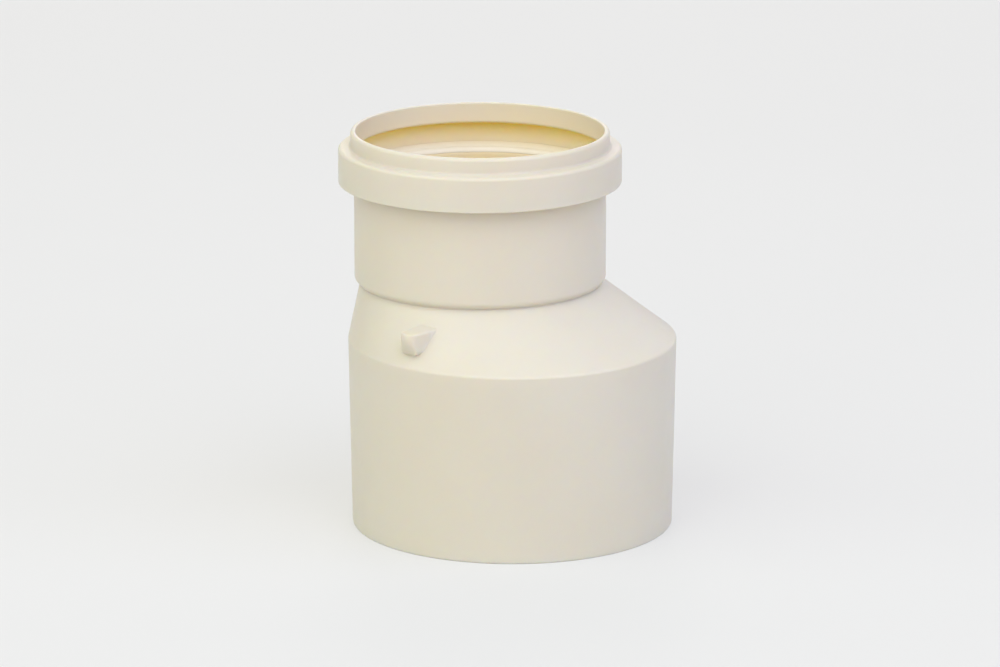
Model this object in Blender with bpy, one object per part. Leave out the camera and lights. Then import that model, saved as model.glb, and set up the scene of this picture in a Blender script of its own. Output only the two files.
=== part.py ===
"""Eccentric reducer for drain pipe: a moulded body, and the ring that seals its socket.

Units are metres and +Z is up. The spigot stands on z = 0. The socket above it is set off
along -X, so that the two bores run flush on that side.
"""
from math import cos, pi, radians, sin, sqrt, tan

import bmesh
import bpy
from mathutils import Matrix, Vector

# Spigot, which goes into the socket of the larger pipe
SPIGOT_END_RADIUS = 0.0508
SPIGOT_WALL = 0.0018
SPIGOT_LENGTH = 0.0601
SPIGOT_DRAFT = radians(1.04)

# Smaller pipe, which goes into this fitting's socket
PIPE_RADIUS = 0.03775

# Oblique cone and the neck under the socket
CONE_HEIGHT = 0.0162
CONE_WALL = 0.0022
NECK_HEIGHT = 0.00105
NECK_STEP = 0.00185

# Socket
PIPE_CLEARANCE = 0.0002
SOCKET_WALL = 0.00185
SOCKET_FLOOR = 0.0021
SOCKET_HEIGHT = 0.0312

# Collar around the ring's groove
GROOVE_DEPTH = 0.00465
GROOVE_HEIGHT = 0.00875
COLLAR_WALL = 0.00215
COLLAR_FLOOR = 0.00095
COLLAR_ROOF = 0.0014
COLLAR_CROWN = 0.00025

# Lip above the collar
MOUTH_CLEARANCE = 0.00145
LIP_WALL = 0.0017
LIP_HEIGHT = 0.0051
LIP_TAPER = 0.0003

# Gate stub on the cone
GATE_WIDTH = 0.0060
GATE_HEIGHT = 0.0077
GATE_RISE = 0.0032
GATE_SETBACK = 0.0001
GATE_NOSE = 0.0024
GATE_SWELL_HEIGHT = 0.0041
GATE_TUCK = 0.0024
GATE_CROWN = 0.0020
GATE_CORNER = 0.0019

# Sealing ring
SEAT_GAP = 0.0003
RING_LIP = 0.0006
RING_LIP_CURL = radians(45)
RING_HEEL_WIDTH = 0.0018
RING_HEEL_HEIGHT = 0.0013

# Edge roundings
END_EDGE = 0.0004
SHOULDER_EDGE = 0.0011
NECK_EDGE = 0.0008
SOCKET_EDGE = 0.0015
COLLAR_EDGE = 0.0004
CROWN_EDGE = 0.0011
LIP_FOOT = 0.0008
RIM_EDGE = 0.0009
MOUTH_EDGE = 0.0003
GROOVE_EDGE = 0.0005
BORE_EDGE = 0.0012

# Facets
SEGMENTS = 64
ROUND_STEPS = 2
GATE_STEPS = 8
CUT_OVERRUN = 0.002

# Radii that follow from the pipes
shoulder_radius = SPIGOT_END_RADIUS + SPIGOT_LENGTH * tan(SPIGOT_DRAFT)
spigot_bore = SPIGOT_END_RADIUS - SPIGOT_WALL
socket_bore = PIPE_RADIUS + PIPE_CLEARANCE
socket_radius = socket_bore + SOCKET_WALL
neck_radius = socket_radius - NECK_STEP
groove_radius = socket_bore + GROOVE_DEPTH
collar_radius = groove_radius + COLLAR_WALL
mouth_radius = PIPE_RADIUS + MOUTH_CLEARANCE
lip_radius = mouth_radius + LIP_WALL

# Heights, from the spigot's end up
shoulder_z = SPIGOT_LENGTH
neck_z = shoulder_z + CONE_HEIGHT
socket_z = neck_z + NECK_HEIGHT
stop_z = socket_z + SOCKET_FLOOR
collar_z = socket_z + SOCKET_HEIGHT
groove_floor_z = collar_z + COLLAR_FLOOR
groove_roof_z = groove_floor_z + GROOVE_HEIGHT
collar_top_z = groove_roof_z + COLLAR_ROOF
lip_foot_z = collar_top_z + COLLAR_CROWN
rim_z = lip_foot_z + LIP_HEIGHT

# Axes: the bores are flush on the -X side, and the overall box is centred on the origin
neck_bore = neck_radius - CONE_WALL
eccentricity = spigot_bore - neck_bore
reach_low = max(shoulder_radius, eccentricity + collar_radius)
reach_high = max(shoulder_radius, collar_radius - eccentricity)
spigot_x = (reach_low - reach_high) / 2
socket_x = spigot_x - eccentricity

# The cone's inner face is its outer face moved in by the wall, on the steep side
cone_run = shoulder_radius + eccentricity - neck_radius
cone_slope = CONE_HEIGHT / cone_run
cone_drop = CONE_WALL * sqrt(1 + cone_slope ** 2)
cone_inner_low_z = shoulder_z + (shoulder_radius - spigot_bore) * cone_slope - cone_drop
cone_inner_high_z = neck_z + (neck_radius - neck_bore) * cone_slope - cone_drop


def spigot_ring(radius, z):
    """A circle about the spigot's axis, as (centre x, radius, height)."""
    return Vector((spigot_x, radius, z))


def socket_ring(radius, z):
    """A circle about the socket's axis, as (centre x, radius, height)."""
    return Vector((socket_x, radius, z))


def rounded(before, corner, after, radius):
    """Circles that round a corner of the outline with an arc."""
    back = (before - corner).normalized()
    ahead = (after - corner).normalized()
    half_angle = back.angle(ahead) / 2
    centre = corner + (back + ahead).normalized() * radius / sin(half_angle)
    start = (corner + back * radius / tan(half_angle) - centre).normalized()
    end = (corner + ahead * radius / tan(half_angle) - centre).normalized()
    steps = range(ROUND_STEPS + 1)
    return [centre + radius * start.slerp(end, step / ROUND_STEPS) for step in steps]


def outline(corners, closed=False):
    """Circles along an outline of (circle, edge radius) corners; radius 0 keeps a corner sharp."""
    count = len(corners)
    circles = []
    for index, (corner, radius) in enumerate(corners):
        at_end = index in (0, count - 1) and not closed
        if at_end or radius == 0:
            circles.append(corner)
            continue
        before = corners[index - 1][0]
        after = corners[(index + 1) % count][0]
        circles.extend(rounded(before, corner, after, radius))
    return circles


def loft(name, circles, closed=False):
    """A mesh object through a row of circles: capped at both ends, or joined into a ring."""
    mesh = bmesh.new()
    loops = []
    for centre, radius, height in circles:
        place = Matrix.Translation((centre, 0, height))
        circle = bmesh.ops.create_circle(mesh, segments=SEGMENTS, radius=radius, matrix=place)
        loops.append(circle["verts"])
    pairs = list(zip(loops, loops[1:]))
    if closed:
        pairs.append((loops[-1], loops[0]))
    else:
        mesh.faces.new(loops[0])
        mesh.faces.new(loops[-1])
    for lower, upper in pairs:
        for index in range(SEGMENTS):
            following = (index + 1) % SEGMENTS
            mesh.faces.new((lower[index], lower[following], upper[following], upper[index]))
    return finish_mesh(name, mesh)


def finish_mesh(name, mesh):
    """An object from a bmesh, with its faces pointing out and its round faces smooth."""
    bmesh.ops.recalc_face_normals(mesh, faces=mesh.faces)
    data = bpy.data.meshes.new(name)
    mesh.to_mesh(data)
    mesh.free()
    data.shade_smooth()
    data.set_sharp_from_angle(angle=radians(30))
    piece = bpy.data.objects.new(name, data)
    bpy.context.scene.collection.objects.link(piece)
    return piece


def plastic(name, colour, roughness):
    """A plain material for one piece."""
    material = bpy.data.materials.new(name)
    material.use_nodes = True
    shader = material.node_tree.nodes["Principled BSDF"]
    shader.inputs["Base Color"].default_value = (*colour, 1)
    shader.inputs["Roughness"].default_value = roughness
    shader.inputs["Metallic"].default_value = 0
    return material


def combine(piece, helper, operation):
    """Join or cut a piece with a helper shape, which is not part of the object."""
    helper.hide_render = True
    helper.display_type = "WIRE"
    modifier = piece.modifiers.new(helper.name, "BOOLEAN")
    modifier.operation = operation
    modifier.solver = "EXACT"
    modifier.object = helper


def outer_form():
    """The moulding's outside as one closed form: spigot, cone, neck, socket, collar and lip."""
    return loft("reducer_body", outline([
        (spigot_ring(SPIGOT_END_RADIUS - 2 * END_EDGE, 0), 0),
        (spigot_ring(SPIGOT_END_RADIUS, 0), END_EDGE),
        (spigot_ring(shoulder_radius, shoulder_z), SHOULDER_EDGE),
        (socket_ring(neck_radius, neck_z), NECK_EDGE),
        (socket_ring(neck_radius, socket_z), 0),
        (socket_ring(socket_radius, socket_z), SOCKET_EDGE),
        (socket_ring(socket_radius, collar_z), COLLAR_EDGE),
        (socket_ring(collar_radius, collar_z), COLLAR_EDGE),
        (socket_ring(collar_radius, collar_top_z), CROWN_EDGE),
        (socket_ring(lip_radius, lip_foot_z), LIP_FOOT),
        (socket_ring(lip_radius, rim_z), RIM_EDGE),
        (socket_ring(lip_radius - 2 * RIM_EDGE, rim_z), 0),
    ]))


def bore_form():
    """The way through the moulding: spigot bore, cone, neck, socket, groove and mouth."""
    mouth_low = mouth_radius - LIP_TAPER
    overrun = MOUTH_EDGE + CUT_OVERRUN
    return loft("bore_cutter", outline([
        (spigot_ring(spigot_bore, -CUT_OVERRUN), 0),
        (spigot_ring(spigot_bore, cone_inner_low_z), 0),
        (socket_ring(neck_bore, cone_inner_high_z), 0),
        (socket_ring(neck_bore, stop_z), 0),
        (socket_ring(socket_bore, stop_z), 0),
        (socket_ring(socket_bore, groove_floor_z), BORE_EDGE),
        (socket_ring(groove_radius, groove_floor_z), GROOVE_EDGE),
        (socket_ring(groove_radius, groove_roof_z), GROOVE_EDGE),
        (socket_ring(mouth_low, groove_roof_z), GROOVE_EDGE),
        (socket_ring(mouth_radius, rim_z - MOUTH_EDGE), 0),
        (socket_ring(mouth_radius + overrun, rim_z - MOUTH_EDGE + overrun), 0),
    ]))


def quarter(share):
    """Depth of a quarter circle of radius 1 at a share of the way to its edge."""
    return 1 - sqrt(1 - min(max(share, 0), 1) ** 2)


def gate_level(height):
    """The gate stub's outline seen from above, at a height over its foot: its nose, then its back."""
    half_width = GATE_WIDTH / 2 - GATE_CORNER * quarter(1 - height / GATE_CORNER)
    rise = height - GATE_SWELL_HEIGHT
    tuck = GATE_TUCK * quarter(-rise / GATE_SWELL_HEIGHT)
    crown = GATE_CROWN * quarter(rise / (GATE_HEIGHT - GATE_SWELL_HEIGHT))
    front_y = GATE_SETBACK - shoulder_radius
    back_y = -sqrt(neck_radius ** 2 - eccentricity ** 2)
    z = shoulder_z + GATE_RISE + height
    points = []
    for step in range(GATE_STEPS + 1):
        across = -cos(pi * step / GATE_STEPS)
        nose = GATE_NOSE * quarter(abs(across)) + (tuck + crown) * (1 - across ** 2)
        points.append((spigot_x + across * half_width, front_y + nose, z))
    points.append((spigot_x + half_width, back_y, z))
    points.append((spigot_x - half_width, back_y, z))
    return points


def gate_stub():
    """The sprue's stub: a short lug with a round nose that tucks in below, facing -Y."""
    heights = [GATE_HEIGHT * step / GATE_STEPS for step in range(GATE_STEPS + 1)]
    mesh = bmesh.new()
    levels = [[mesh.verts.new(point) for point in gate_level(height)] for height in heights]
    mesh.faces.new(levels[0])
    mesh.faces.new(levels[-1])
    for lower, upper in zip(levels, levels[1:]):
        for index in range(len(lower)):
            following = (index + 1) % len(lower)
            mesh.faces.new((lower[index], lower[following], upper[following], upper[index]))
    return finish_mesh("gate_form", mesh)


def ring_lip(radius):
    """Circles along the seal's lip, which curls over the bore's edge."""
    centre = socket_ring(socket_bore + BORE_EDGE, groove_floor_z - BORE_EDGE)
    circles = []
    for step in range(2 * ROUND_STEPS + 1):
        angle = pi / 2 + RING_LIP_CURL * step / (2 * ROUND_STEPS)
        circles.append(centre + radius * Vector((0, cos(angle), sin(angle))))
    return circles


def sealing_ring():
    """The elastomer ring: a foot on the groove's floor, a heel against its wall, and a lip."""
    outer = groove_radius - SEAT_GAP
    foot_z = groove_floor_z + SEAT_GAP
    under_lip = ring_lip(BORE_EDGE + SEAT_GAP)
    over_lip = ring_lip(BORE_EDGE + SEAT_GAP + RING_LIP)
    top_z = over_lip[0].z
    foot = outline([
        (over_lip[0], 0),
        (socket_ring(outer - RING_HEEL_WIDTH, top_z), GROOVE_EDGE),
        (socket_ring(outer, top_z + RING_HEEL_HEIGHT), GROOVE_EDGE / 2),
        (socket_ring(outer, foot_z), GROOVE_EDGE),
        (under_lip[0], 0),
    ])
    return loft("sealing_ring", foot + under_lip[1:] + over_lip[:0:-1], closed=True)


for leftover in list(bpy.data.objects):
    bpy.data.objects.remove(leftover)

body = outer_form()
body.data.materials.append(plastic("ivory_pvc", (0.73, 0.67, 0.55), 0.38))
combine(body, gate_stub(), "UNION")
combine(body, bore_form(), "DIFFERENCE")

ring = sealing_ring()
ring.data.materials.append(plastic("pale_elastomer", (0.77, 0.70, 0.58), 0.55))
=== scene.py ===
"""The eccentric reducer as it looks: a smooth ivory moulding and its pale ring in soft light.

Units are metres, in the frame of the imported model. Sizes repeat the driving dimensions of the
solids. The gate stub, the neck's slant, the ring's lip and the roundings are shaped more finely
here.
"""
from math import ceil, cos, hypot, pi, radians, sin, sqrt, tan

import bpy
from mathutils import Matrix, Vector

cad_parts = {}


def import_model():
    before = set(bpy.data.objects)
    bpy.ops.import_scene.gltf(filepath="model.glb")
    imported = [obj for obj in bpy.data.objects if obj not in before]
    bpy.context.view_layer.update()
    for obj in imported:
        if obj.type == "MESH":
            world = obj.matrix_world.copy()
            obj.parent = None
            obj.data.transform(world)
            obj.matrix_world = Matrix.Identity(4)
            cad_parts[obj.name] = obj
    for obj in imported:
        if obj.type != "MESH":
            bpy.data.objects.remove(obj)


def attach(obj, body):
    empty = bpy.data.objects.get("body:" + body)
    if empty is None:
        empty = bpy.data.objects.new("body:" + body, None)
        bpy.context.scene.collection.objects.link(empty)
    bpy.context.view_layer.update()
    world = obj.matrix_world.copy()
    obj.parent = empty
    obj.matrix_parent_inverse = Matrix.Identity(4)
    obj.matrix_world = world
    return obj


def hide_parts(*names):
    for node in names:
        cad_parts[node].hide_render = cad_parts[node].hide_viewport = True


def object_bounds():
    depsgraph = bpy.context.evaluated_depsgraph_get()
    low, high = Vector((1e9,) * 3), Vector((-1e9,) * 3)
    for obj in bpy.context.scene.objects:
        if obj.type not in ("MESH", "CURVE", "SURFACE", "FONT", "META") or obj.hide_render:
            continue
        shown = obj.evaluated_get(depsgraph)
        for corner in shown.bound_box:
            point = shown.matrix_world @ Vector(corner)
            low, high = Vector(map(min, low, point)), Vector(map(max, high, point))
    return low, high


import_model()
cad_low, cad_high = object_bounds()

# Spigot
SPIGOT_END_RADIUS = 0.0508
SPIGOT_WALL = 0.0018
SPIGOT_LENGTH = 0.0601
SPIGOT_DRAFT = radians(1.04)

# Smaller pipe, which goes into the socket
PIPE_RADIUS = 0.03775

# Oblique cone and neck
CONE_HEIGHT = 0.0162
CONE_WALL = 0.0022
NECK_HEIGHT = 0.00105
NECK_STEP = 0.00185
NECK_SLANT = 0.0008

# Socket
PIPE_CLEARANCE = 0.0002
SOCKET_WALL = 0.00185
SOCKET_FLOOR = 0.0021
SOCKET_HEIGHT = 0.0312

# Collar around the ring's groove
GROOVE_DEPTH = 0.00465
GROOVE_HEIGHT = 0.00875
COLLAR_WALL = 0.00215
COLLAR_FLOOR = 0.00095
COLLAR_ROOF = 0.0014
COLLAR_CROWN = 0.00025

# Lip above the collar
MOUTH_CLEARANCE = 0.00145
LIP_WALL = 0.0017
LIP_HEIGHT = 0.0051
LIP_TAPER = 0.0003

# Gate stub on the cone; its tilt and its draft are slopes
GATE_WIDTH = 0.0060
GATE_HEIGHT = 0.0073
GATE_RISE = 0.0036
GATE_SETBACK = -0.0002
GATE_NOSE = 0.0024
GATE_SWELL_HEIGHT = 0.0056
GATE_TUCK = 0.0033
GATE_CROWN = 0.0007
GATE_TILT = 0.06
GATE_EDGE = 0.0003
GATE_CORNER = 0.0021
GATE_TOP_CORNER = 0.0005
GATE_FILLET = 0.0004
GATE_DRAFT = 25

# Sealing ring
SEAT_GAP = 0.0003
REST_GAP = 0.00005
RING_LIP = 0.0006
RING_LIP_CURL = radians(60)
RING_LIP_STEPS = 24
RING_TIP = 0.0001
RING_HEEL_WIDTH = 0.0018
RING_HEEL_HEIGHT = 0.0013
RING_HEEL_FILLET = 0.0012
RING_HEEL_EDGE = 0.0001

# Edge roundings
END_EDGE = 0.0005
SHOULDER_EDGE = 0.0011
NECK_FILLET = 0.0005
SOCKET_EDGE = 0.0023
COLLAR_EDGE = 0.0004
CROWN_EDGE = 0.0011
LIP_FOOT = 0.0008
RIM_EDGE = 0.0011
MOUTH_EDGE = 0.00045
LIP_UNDER_EDGE = 0.0009
GROOVE_EDGE = 0.0005
BORE_EDGE = 0.0012
STOP_EDGE = 0.0005
INNER_CONE_EDGE = 0.0015

# Mesh density
ROUND_TURN = radians(12)
ROUND_LEAST_STEPS = 3
ROW_SPACING = 0.0060
CONE_ROW_SPACING = 0.00018
SUPPORT = 0.00025
FRONT_HALF = 0.0046
FRONT_LINE_SPACING = 0.00014
BODY_LINES = 168
RING_LINES = 192

# Rows from the rim's top to the first one that takes the inside's colours, which are painted glow
MOUTH_ROW = 4

# Noise patterns are given as (scale, detail), and most of their values lie in this range
NOISE_RANGE = (0.3, 0.7)

# Body's plastic: colour outside, a painted glow inside that is brighter and warmer, and a painted
# golden glow at the top of the groove
IVORY = (0.735, 0.680, 0.568, 1)
IVORY_WARM = (0.720, 0.656, 0.528, 1)
IVORY_CLOUDS = (22, 3)
# Painted light through the thin wall and between the walls: brighter and warmer than the outside
INSIDE_PAINTED_GLOW = (0.930, 0.780, 0.515, 1)
MOUTH_SHARE = 0.55
MOUTH_FADE = 0.0012
# Painted golden glow at the groove's top under the lip, light through the wall painted into the
# colour
GROOVE_PAINTED_GLOW = (0.900, 0.775, 0.195, 1)
GROOVE_GLOW_POWER = 2.5

# Body's plastic: gloss, relief of the skin, and the light that goes into it
IVORY_GRAIN = (160, 4)
IVORY_ROUGHNESS = (0.34, 0.44)
IVORY_SPECULAR = 0.35
SKIN_WAVES = (420, 2)
SKIN_WAVE_DEPTH = 0.00003
SKIN_GRAIN = (2600, 2)
SKIN_GRAIN_DEPTH = 0.000008
OUTSIDE_GLOW = 0.4
BORE_GLOW = 0.2
GLOW_RADIUS = (1.0, 0.62, 0.22)
GLOW_SCALE = 0.004

# Ring's elastomer, with painted golden shade up its heel
RING_PALE = (0.860, 0.790, 0.665, 1)
RING_DULL = (0.835, 0.760, 0.615, 1)
RING_BLOOM = (140, 4)
# Painted golden shade at the heel's top, under the lip
RING_HEEL_PAINTED_SHADE = (0.800, 0.690, 0.495, 1)
RING_GRAIN = (300, 3)
RING_ROUGHNESS = (0.50, 0.62)
RING_SKIN = (1800, 3)
RING_SKIN_DEPTH = 0.00001

# Floor; where it is seen, directly or in a reflection, a share of its light is its own
FLOOR_HALF = 4.0
FLOOR_DULL = (0.68, 0.67, 0.64, 1)
FLOOR_PALE = (0.70, 0.69, 0.66, 1)
FLOOR_CLOUDS = (3, 3)
FLOOR_ROUGHNESS = 0.7
FLOOR_SEEN = (0.93, 0.93, 0.92, 1)
FLOOR_SEEN_SHARE = 0.5

# Camera at the photograph's viewing angle; the lens and the sensor are in millimetres
CAMERA_TURN = radians(39.75)
CAMERA_DISTANCE = 1.851
CAMERA_HEIGHT = 0.5486
CAMERA_SIDESTEP = -0.0039
CAMERA_PITCH = radians(14.763)
CAMERA_LENS = 217.9
CAMERA_SENSOR = 36

# Lamps as (name, turn from the camera in degrees, height in degrees, size, share, colour)
LAMP_DISTANCE = 2.4
LAMPS = [
    ("front", 0, 40, 2.4, 0.43, (1.0, 0.95, 0.95)),
    ("left", -60, 40, 3.2, 0.81, (0.93, 1.0, 0.92)),
    ("right", 60, 40, 3.2, 0.94, (0.69, 0.77, 1.0)),
    ("back_left", -160, 28, 2.4, 0.28, (1.0, 0.96, 0.96)),
    ("back_right", 160, 28, 2.4, 0.28, (1.0, 0.96, 0.96)),
    ("top", 0, 88, 2.4, 0.14, (1.0, 0.95, 0.97)),
]
WORLD_COLOUR = (1.0, 0.99, 0.97, 1)
WORLD_STRENGTH = 0.02

# Radii that follow from the pipes
shoulder_radius = SPIGOT_END_RADIUS + SPIGOT_LENGTH * tan(SPIGOT_DRAFT)
spigot_bore = SPIGOT_END_RADIUS - SPIGOT_WALL
socket_bore = PIPE_RADIUS + PIPE_CLEARANCE
socket_radius = socket_bore + SOCKET_WALL
neck_radius = socket_radius - NECK_STEP
groove_radius = socket_bore + GROOVE_DEPTH
collar_radius = groove_radius + COLLAR_WALL
mouth_radius = PIPE_RADIUS + MOUTH_CLEARANCE
lip_radius = mouth_radius + LIP_WALL

# Heights, from the spigot's end up
shoulder_z = SPIGOT_LENGTH
neck_z = shoulder_z + CONE_HEIGHT
socket_z = neck_z + NECK_HEIGHT
stop_z = socket_z + SOCKET_FLOOR
collar_z = socket_z + SOCKET_HEIGHT
groove_floor_z = collar_z + COLLAR_FLOOR
groove_roof_z = groove_floor_z + GROOVE_HEIGHT
collar_top_z = groove_roof_z + COLLAR_ROOF
lip_foot_z = collar_top_z + COLLAR_CROWN
rim_z = lip_foot_z + LIP_HEIGHT

# Axes
neck_bore = neck_radius - CONE_WALL
eccentricity = spigot_bore - neck_bore
spigot_x = (eccentricity + collar_radius - shoulder_radius) / 2
socket_x = spigot_x - eccentricity

# The cone's inner face is its outer face moved in by the wall, on the sloping side
cone_slope = CONE_HEIGHT / (shoulder_radius + eccentricity - neck_radius)
cone_drop = CONE_WALL * sqrt(1 + cone_slope ** 2)
cone_inner_low_z = shoulder_z + (shoulder_radius - spigot_bore) * cone_slope - cone_drop
cone_inner_high_z = neck_z + (neck_radius - neck_bore) * cone_slope - cone_drop

# Gate stub
gate_low_z = shoulder_z + GATE_RISE
gate_top_z = gate_low_z + GATE_HEIGHT
gate_front_y = GATE_SETBACK - shoulder_radius


def spigot_ring(radius, z):
    """A circle about the spigot's axis, as (centre x, radius, height)."""
    return Vector((spigot_x, radius, z))


def socket_ring(radius, z):
    """A circle about the socket's axis, as (centre x, radius, height)."""
    return Vector((socket_x, radius, z))


def rounded(before, corner, after, radius):
    """Circles that round a corner of the outline with an arc."""
    back = (before - corner).normalized()
    ahead = (after - corner).normalized()
    half_angle = back.angle(ahead) / 2
    centre = corner + (back + ahead).normalized() * radius / sin(half_angle)
    start = (corner + back * radius / tan(half_angle) - centre).normalized()
    end = (corner + ahead * radius / tan(half_angle) - centre).normalized()
    steps = max(ROUND_LEAST_STEPS, ceil((pi - 2 * half_angle) / ROUND_TURN))
    return [centre + radius * start.slerp(end, step / steps) for step in range(steps + 1)]


def straight(start, end, spacing):
    """Circles between two others, with one close to each end so that the roundings shade cleanly."""
    length = (end - start).length
    if length < 3 * SUPPORT:
        return []
    inner = length - 2 * SUPPORT
    steps = max(1, ceil(inner / spacing))
    places = [(SUPPORT + inner * step / steps) / length for step in range(steps + 1)]
    return [start.lerp(end, place) for place in places]


def outline(corners):
    """Circles along a closed outline of (circle, edge radius, spacing of the rows that follow)."""
    count = len(corners)
    arcs = []
    for index, (corner, radius, _) in enumerate(corners):
        before = corners[index - 1][0]
        after = corners[(index + 1) % count][0]
        arcs.append(rounded(before, corner, after, radius) if radius else [corner])
    circles = []
    for index, (_, _, spacing) in enumerate(corners):
        arc = arcs[index]
        following = arcs[(index + 1) % count]
        circles.extend(arc)
        circles.extend(straight(arc[-1], following[0], spacing))
    return circles


def body_outline():
    """The moulding's outside from the spigot's end up to the rim, and its inside down again."""
    wide = ROW_SPACING
    outside = [
        (spigot_ring(SPIGOT_END_RADIUS, 0), END_EDGE, wide),
        (spigot_ring(shoulder_radius, shoulder_z), SHOULDER_EDGE, CONE_ROW_SPACING),
        (socket_ring(neck_radius, neck_z), NECK_FILLET, wide),
        (socket_ring(socket_radius, neck_z + NECK_SLANT), SOCKET_EDGE, wide),
        (socket_ring(socket_radius, collar_z), COLLAR_EDGE, wide),
        (socket_ring(collar_radius, collar_z), COLLAR_EDGE, wide),
        (socket_ring(collar_radius, collar_top_z), CROWN_EDGE, wide),
        (socket_ring(lip_radius, lip_foot_z), LIP_FOOT, wide),
        (socket_ring(lip_radius, rim_z), RIM_EDGE, wide),
    ]
    inside = [
        (socket_ring(mouth_radius, rim_z), MOUTH_EDGE, wide),
        (socket_ring(mouth_radius - LIP_TAPER, groove_roof_z), LIP_UNDER_EDGE, wide),
        (socket_ring(groove_radius, groove_roof_z), GROOVE_EDGE, wide),
        (socket_ring(groove_radius, groove_floor_z), GROOVE_EDGE, wide),
        (socket_ring(socket_bore, groove_floor_z), BORE_EDGE, wide),
        (socket_ring(socket_bore, stop_z), STOP_EDGE, wide),
        (socket_ring(neck_bore, stop_z), STOP_EDGE, wide),
        (socket_ring(neck_bore, cone_inner_high_z), INNER_CONE_EDGE, wide),
        (spigot_ring(spigot_bore, cone_inner_low_z), INNER_CONE_EDGE, wide),
        (spigot_ring(spigot_bore, 0), END_EDGE, wide),
    ]
    return outline(outside + inside)


def front_offsets():
    """Places across the gate stub's side of the body, measured from the spigot's axis along X."""
    steps = ceil(2 * FRONT_HALF / FRONT_LINE_SPACING)
    return [-FRONT_HALF + 2 * FRONT_HALF * step / steps for step in range(steps + 1)]


def body_row(circle, offsets):
    """Points of one circle: across the front at fixed x, then round the rest at even angles."""
    centre, radius, height = circle
    points = []
    for offset in offsets:
        x = spigot_x + offset
        points.append((x, -sqrt(radius ** 2 - (x - centre) ** 2), height))
    first = Vector((points[-1][0] - centre, points[-1][1]))
    last = Vector((points[0][0] - centre, points[0][1]))
    turn = 2 * pi - last.angle(first)
    for step in range(1, BODY_LINES):
        angle = turn * step / BODY_LINES
        along_x = first.x * cos(angle) - first.y * sin(angle)
        along_y = first.x * sin(angle) + first.y * cos(angle)
        points.append((centre + along_x, along_y, height))
    return points


def quarter(share):
    """Depth of a quarter circle of radius 1 at a share of the way to its edge."""
    return 1 - sqrt(1 - min(max(share, 0), 1) ** 2)


def gate_depth(x, z):
    """How far a point in the gate stub's face lies inside its outline; negative outside it."""
    side = GATE_WIDTH / 2 - abs(x - spigot_x)
    foot = z - gate_low_z
    top = gate_top_z - (x - spigot_x) * GATE_TILT - z
    end, corner = (foot, GATE_CORNER) if foot < top else (top, GATE_TOP_CORNER)
    if side < corner and end < corner:
        return corner - hypot(corner - side, corner - end)
    return min(side, end)


def with_gate(point):
    """A point of the cone's face, moved out where the gate stub stands on it."""
    x, y, z = point
    depth = gate_depth(x, z)
    outside = max(-depth, 0)
    across = min(abs(x - spigot_x) / (GATE_WIDTH / 2), 1)
    rise = z - gate_low_z - GATE_SWELL_HEIGHT
    tuck = GATE_TUCK * min(max(-rise / GATE_SWELL_HEIGHT, 0), 1) ** 2
    crown = GATE_CROWN * quarter(rise / (GATE_HEIGHT - GATE_SWELL_HEIGHT))
    nose = GATE_NOSE * quarter(across) + (tuck + crown) * (1 - across ** 2)
    edge = GATE_EDGE * quarter(1 - depth / GATE_EDGE)
    stub_y = gate_front_y + nose + edge + outside * GATE_DRAFT
    foot = GATE_FILLET * quarter(1 - outside / GATE_FILLET)
    return (x, min(stub_y, y - foot), z)


def placed(name, data):
    """A new object of the scene, made from its data."""
    made = bpy.data.objects.new(name, data)
    bpy.context.scene.collection.objects.link(made)
    return made


def shell(name, rows, shares):
    """A closed mesh object from rows of points, with named values that each have one per row."""
    lines = len(rows[0])
    points = [point for row in rows for point in row]
    faces = []
    for row in range(len(rows)):
        here = row * lines
        above = (row + 1) % len(rows) * lines
        for line in range(lines):
            beside = (line + 1) % lines
            faces.append((here + line, here + beside, above + beside, above + line))
    mesh = bpy.data.meshes.new(name)
    mesh.from_pydata(points, [], faces)
    mesh.shade_smooth()
    for title, values in shares.items():
        layer = mesh.attributes.new(title, "FLOAT", "POINT")
        layer.data.foreach_set("value", [value for value in values for _ in range(lines)])
    mesh.update()
    return placed(name, mesh)


def inside_glow_share(height):
    """How far the inside's painted glow, a brighter and warmer colour, shows at a height: least at
    the rim, fully in the bore.
    """
    if height < groove_floor_z:
        return 1.0
    return MOUTH_SHARE * min((rim_z - height) / MOUTH_FADE, 1)


def groove_share(height):
    """How far up the groove a height inside the socket is; it falls again in the lip's lower edge."""
    if height > groove_roof_z:
        return max(1 - (height - groove_roof_z) / LIP_UNDER_EDGE, 0)
    return max((height - groove_floor_z) / GROOVE_HEIGHT, 0)


def reducer_body():
    """The moulding, with its gate stub grown out of the cone."""
    circles = body_outline()
    offsets = front_offsets()
    rows = []
    inside_glow_shares = []
    grooves = []
    depths = []
    rim_row = max(range(len(circles)), key=lambda index: circles[index].z)
    for index, circle in enumerate(circles):
        row = body_row(circle, offsets)
        if index < rim_row and shoulder_z < circle.z < neck_z:
            row[:len(offsets)] = [with_gate(point) for point in row[:len(offsets)]]
        rows.append(row)
        within = index >= rim_row + MOUTH_ROW
        groove = groove_share(circle.z)
        # Share of the inside's painted glow, a brighter and warmer colour
        inside_glow_shares.append(inside_glow_share(circle.z) if within else 0.0)
        grooves.append(groove if within else 0.0)
        depths.append(BORE_GLOW + (1 - BORE_GLOW) * groove if within else OUTSIDE_GLOW)
    return shell("moulded_body", rows, {"inside": inside_glow_shares, "groove": grooves, "depth": depths})


def ring_lip(root, tip):
    """Circles along the seal's lip over the bore's edge, from its height at the root to its tip's."""
    centre = socket_ring(socket_bore + BORE_EDGE, groove_floor_z - BORE_EDGE)
    circles = []
    for step in range(RING_LIP_STEPS + 1):
        angle = pi / 2 + RING_LIP_CURL * step / RING_LIP_STEPS
        radius = BORE_EDGE + root + (tip - root) * step / RING_LIP_STEPS
        circles.append(centre + radius * Vector((0, cos(angle), sin(angle))))
    return circles


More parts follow.
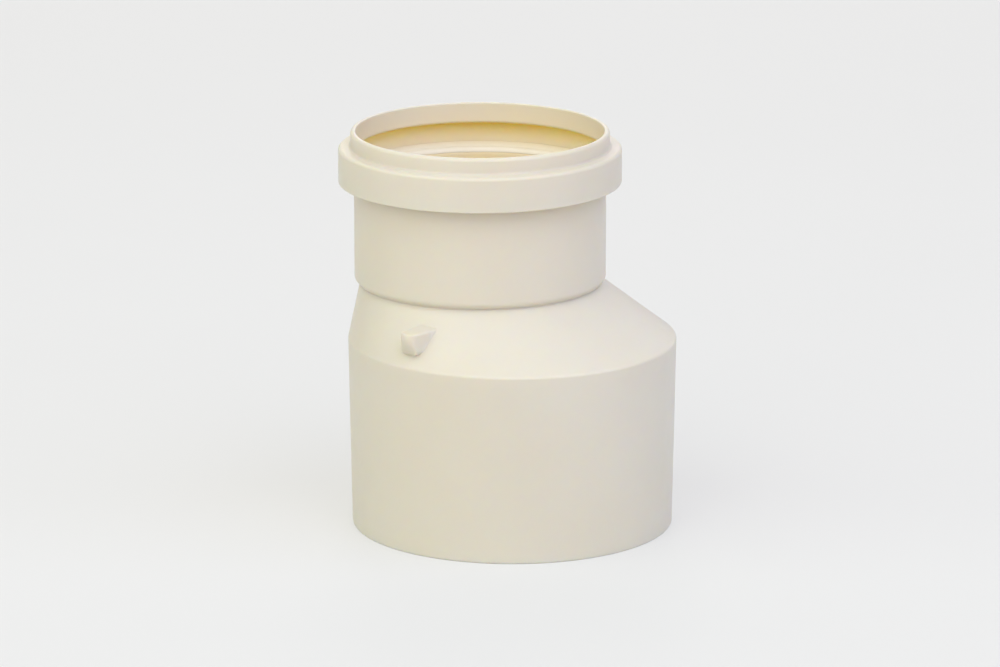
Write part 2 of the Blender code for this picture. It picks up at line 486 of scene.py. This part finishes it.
def sealing_ring():
    """The elastomer ring: a foot on the groove's floor, a heel against its wall, and a lip."""
    outer = groove_radius - REST_GAP
    foot_z = groove_floor_z + REST_GAP
    under_lip = ring_lip(REST_GAP, REST_GAP)
    over_lip = ring_lip(SEAT_GAP + RING_LIP, REST_GAP + RING_TIP)
    top_z = over_lip[0].z
    wide = ROW_SPACING
    corners = [
        (over_lip[0], 0, wide),
        (socket_ring(outer - RING_HEEL_WIDTH, top_z), RING_HEEL_FILLET, wide),
        (socket_ring(outer, top_z + RING_HEEL_HEIGHT), RING_HEEL_EDGE, wide),
        (socket_ring(outer, foot_z), GROOVE_EDGE, wide),
    ]
    corners += [(circle, 0, wide) for circle in under_lip + over_lip[:0:-1]]
    angles = [2 * pi * line / RING_LINES for line in range(RING_LINES)]
    rows = []
    heels = []
    for centre, radius, height in outline(corners):
        rows.append([(centre + radius * cos(angle), radius * sin(angle), height) for angle in angles])
        # Share of the painted golden shade, rising up the heel
        heels.append(max((height - top_z) / RING_HEEL_HEIGHT, 0))
    return shell("seal_ring", rows, {"heel": heels})


def join(tree, source, target):
    """Link an output to an input, or set the input's value."""
    if hasattr(source, "is_linked"):
        tree.links.new(source, target)
    else:
        target.default_value = source


def noise(tree, place, pattern):
    """A noise pattern's value at a place in the object."""
    made = tree.nodes.new("ShaderNodeTexNoise")
    made.inputs["Scale"].default_value, made.inputs["Detail"].default_value = pattern
    tree.links.new(place, made.inputs["Vector"])
    return made.outputs["Fac"]


def spread(tree, value, old_range, new_range):
    """A value moved from one range to another."""
    made = tree.nodes.new("ShaderNodeMapRange")
    tree.links.new(value, made.inputs["Value"])
    made.inputs["From Min"].default_value, made.inputs["From Max"].default_value = old_range
    made.inputs["To Min"].default_value, made.inputs["To Max"].default_value = new_range
    return made.outputs["Result"]


def blend(tree, share, first, second):
    """Two colours mixed by a share."""
    made = tree.nodes.new("ShaderNodeMix")
    made.data_type = "RGBA"
    tree.links.new(share, made.inputs["Factor"])
    join(tree, first, made.inputs["A"])
    join(tree, second, made.inputs["B"])
    return made.outputs["Result"]


def reckon(tree, operation, first, second):
    """One value worked out from two."""
    made = tree.nodes.new("ShaderNodeMath")
    made.operation = operation
    join(tree, first, made.inputs[0])
    join(tree, second, made.inputs[1])
    return made.outputs["Value"]


def relief(tree, height, depth, under=None):
    """Fine relief of the surface, with its depth in metres, over another one if there is one."""
    made = tree.nodes.new("ShaderNodeBump")
    made.inputs["Strength"].default_value = 1
    made.inputs["Distance"].default_value = depth
    tree.links.new(height, made.inputs["Height"])
    if under:
        tree.links.new(under, made.inputs["Normal"])
    return made.outputs["Normal"]


def row_value(tree, title):
    """A value that the mesh carries under a name."""
    made = tree.nodes.new("ShaderNodeAttribute")
    made.attribute_name = title
    return made.outputs["Fac"]


def new_material(name):
    """A node material and its parts: tree, shader and object coordinates."""
    material = bpy.data.materials.new(name)
    material.use_nodes = True
    tree = material.node_tree
    shader = tree.nodes["Principled BSDF"]
    place = tree.nodes.new("ShaderNodeTexCoord").outputs["Object"]
    return material, tree, shader, place


def ivory_pvc():
    """Rigid ivory plastic: a smooth moulded skin with faint clouding, and painted glow that is
    brighter and warmer inside and golden at the groove's top.
    """
    material, tree, shader, place = new_material("ivory_pvc")
    clouds = spread(tree, noise(tree, place, IVORY_CLOUDS), NOISE_RANGE, (0, 1))
    colour = blend(tree, clouds, IVORY, IVORY_WARM)
    # Painted glow: a brighter and warmer colour inside the socket and bore
    colour = blend(tree, row_value(tree, "inside"), colour, INSIDE_PAINTED_GLOW)
    # Painted golden glow, strongest at the groove's top under the lip
    painted_glow = reckon(tree, "POWER", row_value(tree, "groove"), GROOVE_GLOW_POWER)
    colour = blend(tree, painted_glow, colour, GROOVE_PAINTED_GLOW)
    tree.links.new(colour, shader.inputs["Base Color"])
    gloss = spread(tree, noise(tree, place, IVORY_GRAIN), NOISE_RANGE, IVORY_ROUGHNESS)
    tree.links.new(gloss, shader.inputs["Roughness"])
    waves = relief(tree, noise(tree, place, SKIN_WAVES), SKIN_WAVE_DEPTH)
    skin = relief(tree, noise(tree, place, SKIN_GRAIN), SKIN_GRAIN_DEPTH, waves)
    tree.links.new(skin, shader.inputs["Normal"])
    shader.inputs["Specular IOR Level"].default_value = IVORY_SPECULAR
    tree.links.new(row_value(tree, "depth"), shader.inputs["Subsurface Weight"])
    shader.inputs["Subsurface Radius"].default_value = GLOW_RADIUS
    shader.inputs["Subsurface Scale"].default_value = GLOW_SCALE
    return material


def pale_elastomer():
    """Pale satin elastomer with a faint bloom, and painted golden shade that rises up the heel."""
    material, tree, shader, place = new_material("pale_elastomer")
    bloom = spread(tree, noise(tree, place, RING_BLOOM), NOISE_RANGE, (0, 1))
    colour = blend(tree, bloom, RING_PALE, RING_DULL)
    # Painted golden shade up the heel
    colour = blend(tree, row_value(tree, "heel"), colour, RING_HEEL_PAINTED_SHADE)
    tree.links.new(colour, shader.inputs["Base Color"])
    gloss = spread(tree, noise(tree, place, RING_GRAIN), NOISE_RANGE, RING_ROUGHNESS)
    tree.links.new(gloss, shader.inputs["Roughness"])
    skin = relief(tree, noise(tree, place, RING_SKIN), RING_SKIN_DEPTH)
    tree.links.new(skin, shader.inputs["Normal"])
    return material


def pale_floor():
    """Matt floor that looks paler, to the camera and in reflections, than the lamps make it."""
    material, tree, shader, place = new_material("studio_floor")
    clouds = spread(tree, noise(tree, place, FLOOR_CLOUDS), NOISE_RANGE, (0, 1))
    colour = blend(tree, clouds, FLOOR_DULL, FLOOR_PALE)
    tree.links.new(colour, shader.inputs["Base Color"])
    shader.inputs["Roughness"].default_value = FLOOR_ROUGHNESS
    rays = tree.nodes.new("ShaderNodeLightPath")
    seen = rays.outputs["Is Camera Ray"]
    for title in ("Is Glossy Ray", "Is Transmission Ray"):
        seen = reckon(tree, "MAXIMUM", seen, rays.outputs[title])
    share = spread(tree, seen, (0, 1), (0, FLOOR_SEEN_SHARE))
    pale = tree.nodes.new("ShaderNodeEmission")
    pale.inputs["Color"].default_value = FLOOR_SEEN
    mixed = tree.nodes.new("ShaderNodeMixShader")
    tree.links.new(share, mixed.inputs["Fac"])
    tree.links.new(shader.outputs["BSDF"], mixed.inputs[1])
    tree.links.new(pale.outputs["Emission"], mixed.inputs[2])
    tree.links.new(mixed.outputs["Shader"], tree.nodes["Material Output"].inputs["Surface"])
    return material


def studio_floor():
    """A wide square floor under the spigot's end."""
    half = FLOOR_HALF
    corners = [(-half, -half, 0), (half, -half, 0), (half, half, 0), (-half, half, 0)]
    mesh = bpy.data.meshes.new("floor")
    mesh.from_pydata(corners, [], [(0, 1, 2, 3)])
    mesh.materials.append(pale_floor())
    return placed("floor", mesh)


def softbox(name, turn, height, size, share, colour):
    """A square lamp aimed at the object's middle.

    A white surface that faces a narrow lamp shows this share of full white, and less of a wide one.
    """
    side = CAMERA_TURN + radians(turn)
    level = LAMP_DISTANCE * cos(radians(height))
    rise = LAMP_DISTANCE * sin(radians(height))
    middle = (cad_low + cad_high) / 2
    location = middle + Vector((sin(side) * level, -cos(side) * level, rise))
    data = bpy.data.lights.new(name, "AREA")
    data.size = size
    data.energy = share * pi ** 2 * LAMP_DISTANCE ** 2
    data.color = colour
    lamp = placed(name, data)
    lamp.location = location
    lamp.rotation_euler = (middle - location).to_track_quat("-Z", "Y").to_euler()


def camera():
    """The camera, set from the spigot's axis."""
    data = bpy.data.cameras.new("camera")
    data.sensor_width = CAMERA_SENSOR
    data.lens = CAMERA_LENS
    ahead = Vector((-sin(CAMERA_TURN), cos(CAMERA_TURN), 0))
    right = Vector((cos(CAMERA_TURN), sin(CAMERA_TURN), 0))
    eye = placed("camera", data)
    eye.location = Vector((spigot_x, 0, CAMERA_HEIGHT))
    eye.location += right * CAMERA_SIDESTEP - ahead * CAMERA_DISTANCE
    eye.rotation_euler = (pi / 2 - CAMERA_PITCH, 0, CAMERA_TURN)
    bpy.context.scene.camera = eye


def world():
    """Even pale light from all round."""
    made = bpy.data.worlds.new("studio")
    made.use_nodes = True
    background = made.node_tree.nodes["Background"]
    background.inputs["Color"].default_value = WORLD_COLOUR
    background.inputs["Strength"].default_value = WORLD_STRENGTH
    bpy.context.scene.world = made


body = reducer_body()
body.data.materials.append(ivory_pvc())
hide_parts("reducer_body")
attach(body, "root")

ring = sealing_ring()
ring.data.materials.append(pale_elastomer())
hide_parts("sealing_ring")
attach(ring, "root")

studio_floor()
camera()
world()
for lamp in LAMPS:
    softbox(*lamp)
bpy.context.scene.view_settings.view_transform = "Standard"
